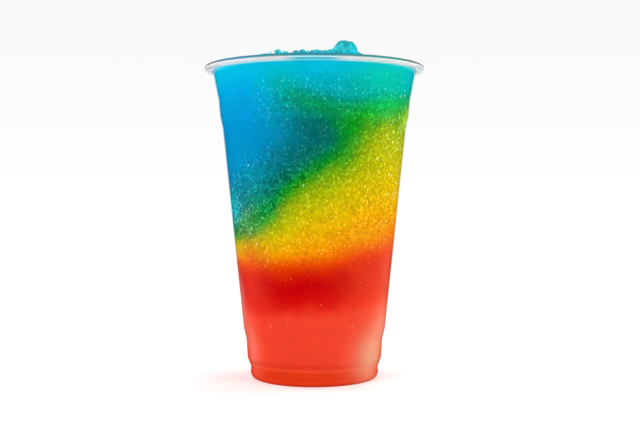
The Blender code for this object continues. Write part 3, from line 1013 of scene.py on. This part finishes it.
def grain_tree(name):
    """Geometry nodes that scatter flattened grains over a surface, more where its ice is."""
    tree = bpy.data.node_groups.new(name, "GeometryNodeTree")
    kinds = {"Density": "Float", "Small": "Vector", "Large": "Vector", "Seed": "Int", "Material": "Material"}
    for label, kind in {"Geometry": "Geometry", **kinds}.items():
        tree.interface.new_socket(name=label, in_out="INPUT", socket_type="NodeSocket" + kind)
    tree.interface.new_socket(name="Geometry", in_out="OUTPUT", socket_type="NodeSocketGeometry")
    given = add_node(tree, "NodeGroupInput").outputs
    share = add_node(tree, "GeometryNodeInputNamedAttribute", {"data_type": "FLOAT"}, {"Name": "grains"})
    density = maths(tree, "MULTIPLY", share.outputs["Attribute"], given["Density"])
    inputs = {"Mesh": given["Geometry"], "Density": density, "Seed": given["Seed"]}
    points = add_node(tree, "GeometryNodeDistributePointsOnFaces", {}, inputs).outputs
    luck = random_value(tree, "FLOAT", 1, {"Seed": given["Seed"]})
    settings = {"data_type": "FLOAT", "domain": "POINT"}
    inputs = {"Geometry": points["Points"], "Name": "luck", "Value": luck}
    marked = output_of(tree, "GeometryNodeStoreNamedAttribute", inputs, settings)
    size = random_value(tree, "FLOAT_VECTOR", 0, {0: given["Small"], 1: given["Large"], "Seed": 3})
    inputs = {"Vector": points["Normal"]}
    facing = output_of(tree, "FunctionNodeAlignRotationToVector", inputs, {"axis": "Z"})
    settings = {"axis": "Y", "pivot_axis": "Z"}
    inputs = {"Rotation": facing, "Vector": (0.0, 0.0, 1.0)}
    upright = output_of(tree, "FunctionNodeAlignRotationToVector", inputs, settings)
    roll = random_value(tree, "FLOAT", 1, {2: -0.3, 3: 0.3, "Seed": 4})
    roll = output_of(tree, "ShaderNodeCombineXYZ", {"Z": roll})
    roll = output_of(tree, "FunctionNodeEulerToRotation", {0: roll})
    inputs = {"Rotation": upright, "Rotate By": roll}
    turn = output_of(tree, "FunctionNodeRotateRotation", inputs, {"rotation_space": "LOCAL"})
    grain = output_of(tree, "GeometryNodeMeshIcoSphere", {"Radius": 1.0, "Subdivisions": 1}, socket="Mesh")
    grain = output_of(tree, "GeometryNodeSetShadeSmooth", {"Geometry": grain})
    inputs = {"Points": marked, "Instance": grain, "Rotation": turn, "Scale": size}
    placed = output_of(tree, "GeometryNodeInstanceOnPoints", inputs)
    real = output_of(tree, "GeometryNodeRealizeInstances", {"Geometry": placed})
    inputs = {"Geometry": real, "Material": given["Material"]}
    dressed = output_of(tree, "GeometryNodeSetMaterial", inputs)
    add_node(tree, "NodeGroupOutput", {}, {"Geometry": dressed})
    return tree


def scatter(name, ground, tree, kind, seed, material):
    """Scatters one kind of grain on a ground mesh and returns them as one plain piece."""
    density, small, large = kind
    source = new_object(name, ground)
    nodes = source.modifiers.new("scatter", "NODES")
    nodes.node_group = tree
    values = {
        "Density": density,
        "Small": [size * MM for size in small],
        "Large": [size * MM for size in large],
        "Seed": seed,
        "Material": material,
    }
    for item in tree.interface.items_tree:
        if item.item_type == "SOCKET" and item.in_out == "INPUT" and item.name in values:
            nodes[item.identifier] = values[item.name]
    source.data = evaluated_mesh(source)
    source.modifiers.clear()
    return source


def wall_share(places, ice):
    return np.clip(1.3 * ice - 0.1, 0, 1)


def sparkle_share(places, ice):
    """Painted glints gather in patches where the slush lies driest on the wall."""
    turn, height = turn_of(places), places[:, 2]
    share = STRAY_SPARKLES
    for round_cup, up_cup, strength in SPARKLE_PATCHES:
        share = share + strength * bump_at(turn, *round_cup) * bump_at(height, *up_cup)
    return share * (0.3 + 0.7 * ice)


def wall_skin(name, share):
    """An open surface along the wall for the grains to lie on, with their share at each point."""
    low, high = GRAIN_HEIGHTS
    wall = [point for point in spaced(fill_line(), GRAIN_SKIN_ROW) if low < point[1] < high]
    mesh = turned_mesh(name, wall, GRAIN_SKIN_COLUMNS)
    ice = paint(mesh)
    store(mesh, "grains", np.clip(share(places_of(mesh.vertices), ice), 0, 1))
    return mesh


def make_wall_grains(tree):
    """The pale grains that lie against the wall."""
    material = grain_material("ice_grain", 0.78, 0.07, 0.5)
    return scatter("ice_grains", wall_skin("wall_skin", wall_share), tree, WALL_GRAINS, 7, material)


def make_sparkles(tree):
    """The palest grains, painted highlights that stand for glints, in patches at both sides."""
    material = grain_material("ice_sparkle", 0.7, 1.3, 0.35)
    return scatter("ice_sparkles", wall_skin("sparkle_skin", sparkle_share), tree, SPARKLES, 19, material)


def make_bubbles():
    """Small bubbles that press against the wall in the red slush."""
    heights, reaches = np.array([(height, reach) for reach, height in reversed(fill_line())]).T
    shape = bmesh.new()
    for number, (turn, height, size) in enumerate(BUBBLES):
        angle = math.radians(turn)
        reach = np.interp(height, heights, reaches) - BUBBLE_INSET
        place = (reach * math.sin(angle), -reach * math.cos(angle), height)
        add_rough_ball(shape, place, (size, BUBBLE_DEPTH, size), 2, 0.3, 5.0 * number)
    mesh = mesh_from(shape, "bubbles")
    paint(mesh)
    mesh.shade_smooth()
    # the same high luck for every bubble lightens and pales it: painted highlight
    store(mesh, "luck", np.full(len(mesh.vertices), 0.8))
    return new_object("bubbles", mesh)


def make_loose_ice(tree):
    """Loose grains that lie on the heap."""
    mesh = mesh_from(heap_grid(crumbly_height), "heap_skin")
    paint(mesh)
    store(mesh, "grains", np.ones(len(mesh.vertices)))
    return scatter("loose_ice", mesh, tree, LOOSE_GRAINS, 23, grain_material("loose_ice", 0.5, 0.2, 0.15, 0.5))


# Surroundings


def make_floor():
    """A round white floor whose edge melts into the backdrop."""
    shape = bmesh.new()
    bmesh.ops.create_circle(shape, cap_ends=True, segments=64, radius=FLOOR_RADIUS)
    floor = new_object("floor", mesh_from(shape, "floor"))
    material, tree = new_material("white_floor")
    matt = output_of(tree, "ShaderNodeBsdfDiffuse", {"Color": (0.93, 0.93, 0.93, 1.0)})
    inputs = {"Color": (1.0, 1.0, 1.0, 1.0), "Roughness": 0.12}
    near = mix_shaders(tree, 0.04, matt, output_of(tree, "ShaderNodeBsdfGlossy", inputs))
    path = add_node(tree, "ShaderNodeLightPath").outputs
    strength = map_range(tree, path["Is Camera Ray"], 0.0, 1.0, 0.14, 0.22)
    glow = output_of(tree, "ShaderNodeEmission", {"Strength": strength})
    near = output_of(tree, "ShaderNodeAddShader", {0: near, 1: glow})
    far = output_of(tree, "ShaderNodeEmission", {"Color": (1.0, 1.0, 1.0, 1.0)})
    inputs = {0: object_place(tree)}
    reach = output_of(tree, "ShaderNodeVectorMath", inputs, {"operation": "LENGTH"}, "Value")
    finish_material(tree, mix_shaders(tree, map_range(tree, reach, 0.3, 1.1), near, far))
    floor.data.materials.append(material)
    floor.visible_glossy = False


def make_world():
    """Even white light, a white backdrop, and a dark room before the cup for its wall to reflect."""
    world = bpy.data.worlds.new("studio")
    bpy.context.scene.world = world
    world.use_nodes = True
    tree = world.node_tree
    tree.nodes.clear()
    path = add_node(tree, "ShaderNodeLightPath").outputs
    toward = output_of(tree, "ShaderNodeTexCoord", socket="Generated")
    split = add_node(tree, "ShaderNodeSeparateXYZ", {}, {0: toward}).outputs
    steep = map_range(tree, split["Z"], 0.35, 0.8, 0.0, 0.85)
    steep = maths(tree, "MULTIPLY", steep, map_range(tree, split["Y"], 0.1, 0.7, 1.0, 0.1))
    behind = map_range(tree, split["Y"], 0.92, 0.985, 0.0, 0.9)
    mirrored = maths(tree, "MAXIMUM", steep, behind)
    side = map_range(tree, maths(tree, "ABSOLUTE", split["X"]), 0.5, 0.8, 0.0, SIDE_GLOW)
    side = maths(tree, "MULTIPLY", side, map_range(tree, split["Y"], -0.1, 0.3, 0.0, 1.0))
    side = maths(tree, "MULTIPLY", side, map_range(tree, split["Z"], 0.3, 0.6, 1.0, 0.0))
    even = maths(tree, "ADD", side, EVEN_LIGHT)
    height = map_range(tree, split["Z"], 0.0, 0.2, 1.0, 0.93)
    through = maths(tree, "GREATER_THAN", path["Transmission Depth"], 0.5)
    through = maths(tree, "MULTIPLY", through, maths(tree, "SUBTRACT", 1.0, path["Is Diffuse Ray"]))
    seen = maths(tree, "MAXIMUM", path["Is Camera Ray"], through)
    strength = output_of(tree, "ShaderNodeMix", {0: path["Is Glossy Ray"], 2: even, 3: mirrored})
    strength = output_of(tree, "ShaderNodeMix", {0: seen, 2: strength, 3: height})
    light = add_node(tree, "ShaderNodeBackground", {}, {"Color": (1.0, 1.0, 1.0, 1.0), "Strength": strength})
    add_node(tree, "ShaderNodeOutputWorld", {}, {"Surface": light.outputs[0]})


def make_lights():
    """Soft square lamps that light the slush but show in neither the wall nor the picture."""
    for name, place, aim, size, watts in LAMPS:
        lamp = bpy.data.lights.new(name, "AREA")
        lamp.shape = "RECTANGLE"
        lamp.size = lamp.size_y = size
        lamp.energy = watts
        box = new_object(name, lamp)
        box.location = place
        box.rotation_euler = (Vector((0.0, 0.0, aim)) - Vector(place)).to_track_quat("-Z", "Y").to_euler()
        box.visible_glossy = False
        box.visible_camera = False
        box.visible_transmission = False


def make_camera():
    lens = bpy.data.cameras.new("camera")
    lens.lens = CAMERA_LENS
    lens.sensor_width = 36.0
    lens.clip_start = 0.01
    camera = new_object("camera", lens)
    camera.location = CAMERA_PLACE
    camera.rotation_euler = (math.radians(90.0 - CAMERA_TILT), 0.0, 0.0)
    bpy.context.scene.camera = camera
    bpy.context.scene.view_settings.view_transform = "Standard"


def dress(piece, material, node):
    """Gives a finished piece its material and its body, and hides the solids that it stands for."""
    if material:
        piece.data.materials.clear()
        piece.data.materials.append(material)
    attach(piece, "root")
    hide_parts(*node)


def main():
    make_camera()
    make_world()
    make_lights()
    make_floor()
    dress(make_cup(), cup_material(), ["cup"])
    layers = make_slush()
    for name, piece in layers.items():
        dress(piece, slush_material(name + "_look", 0.5, 0.0), [name])
    layers["blue_slush"].data.materials.append(wet_material())
    set_wet_top(layers["blue_slush"].data)
    tree = grain_tree("scatter_grains")
    icy = ["yellow_slush", "green_slush", "blue_slush"]
    dress(make_wall_grains(tree), None, icy)
    dress(make_sparkles(tree), None, icy)
    dress(make_bubbles(), grain_material("bubble_ice", 0.6, 0.25, 0.4), ["red_slush"])
    dress(make_loose_ice(tree), None, ["blue_slush"])


main()
